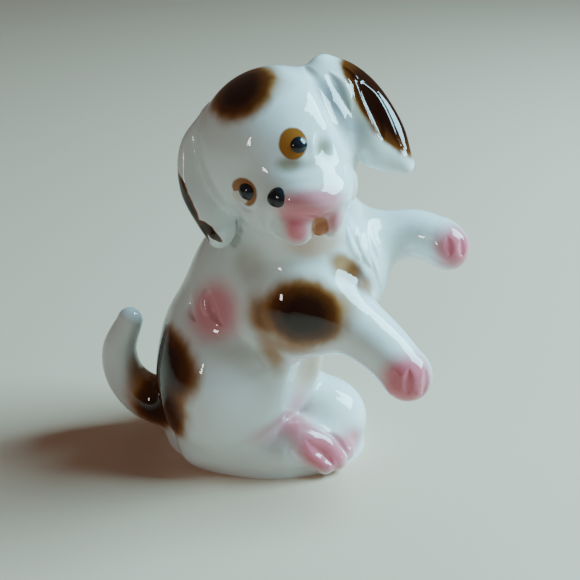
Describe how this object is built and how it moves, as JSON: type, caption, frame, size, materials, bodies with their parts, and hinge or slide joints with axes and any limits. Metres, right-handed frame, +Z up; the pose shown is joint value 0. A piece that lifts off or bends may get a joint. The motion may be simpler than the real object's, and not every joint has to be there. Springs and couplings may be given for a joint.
{
  "type": "ceramic dog figurine",
  "caption": "Glazed porcelain puppy sitting up on its haunches on a low mound, with raised forelegs, drooping ears and a curled tail.",
  "frame": {"origin": "middle of the flat underside of the mound that the puppy sits on", "axes": "+Z up out of the shelf; +X the way the puppy's body and raised forelegs point; its right side faces -Y"},
  "size_m": [0.0826, 0.048, 0.0916],
  "materials": {
    "glaze": "clear glossy glaze over white porcelain with airbrushed brown, amber and pink patches",
    "enamel": "raised glossy black overglaze enamel"
  },
  "bodies": {
    "root": {"body": "glaze", "base": "glaze", "head": "glaze", "right_ear": "glaze", "left_ear": "glaze", "right_foreleg": "glaze", "left_foreleg": "glaze", "right_hind_paw": "glaze", "left_hind_paw": "glaze", "tail": "glaze", "right_pupil": "enamel", "left_pupil": "enamel", "nose": "enamel"}
  },
  "joints": []
}
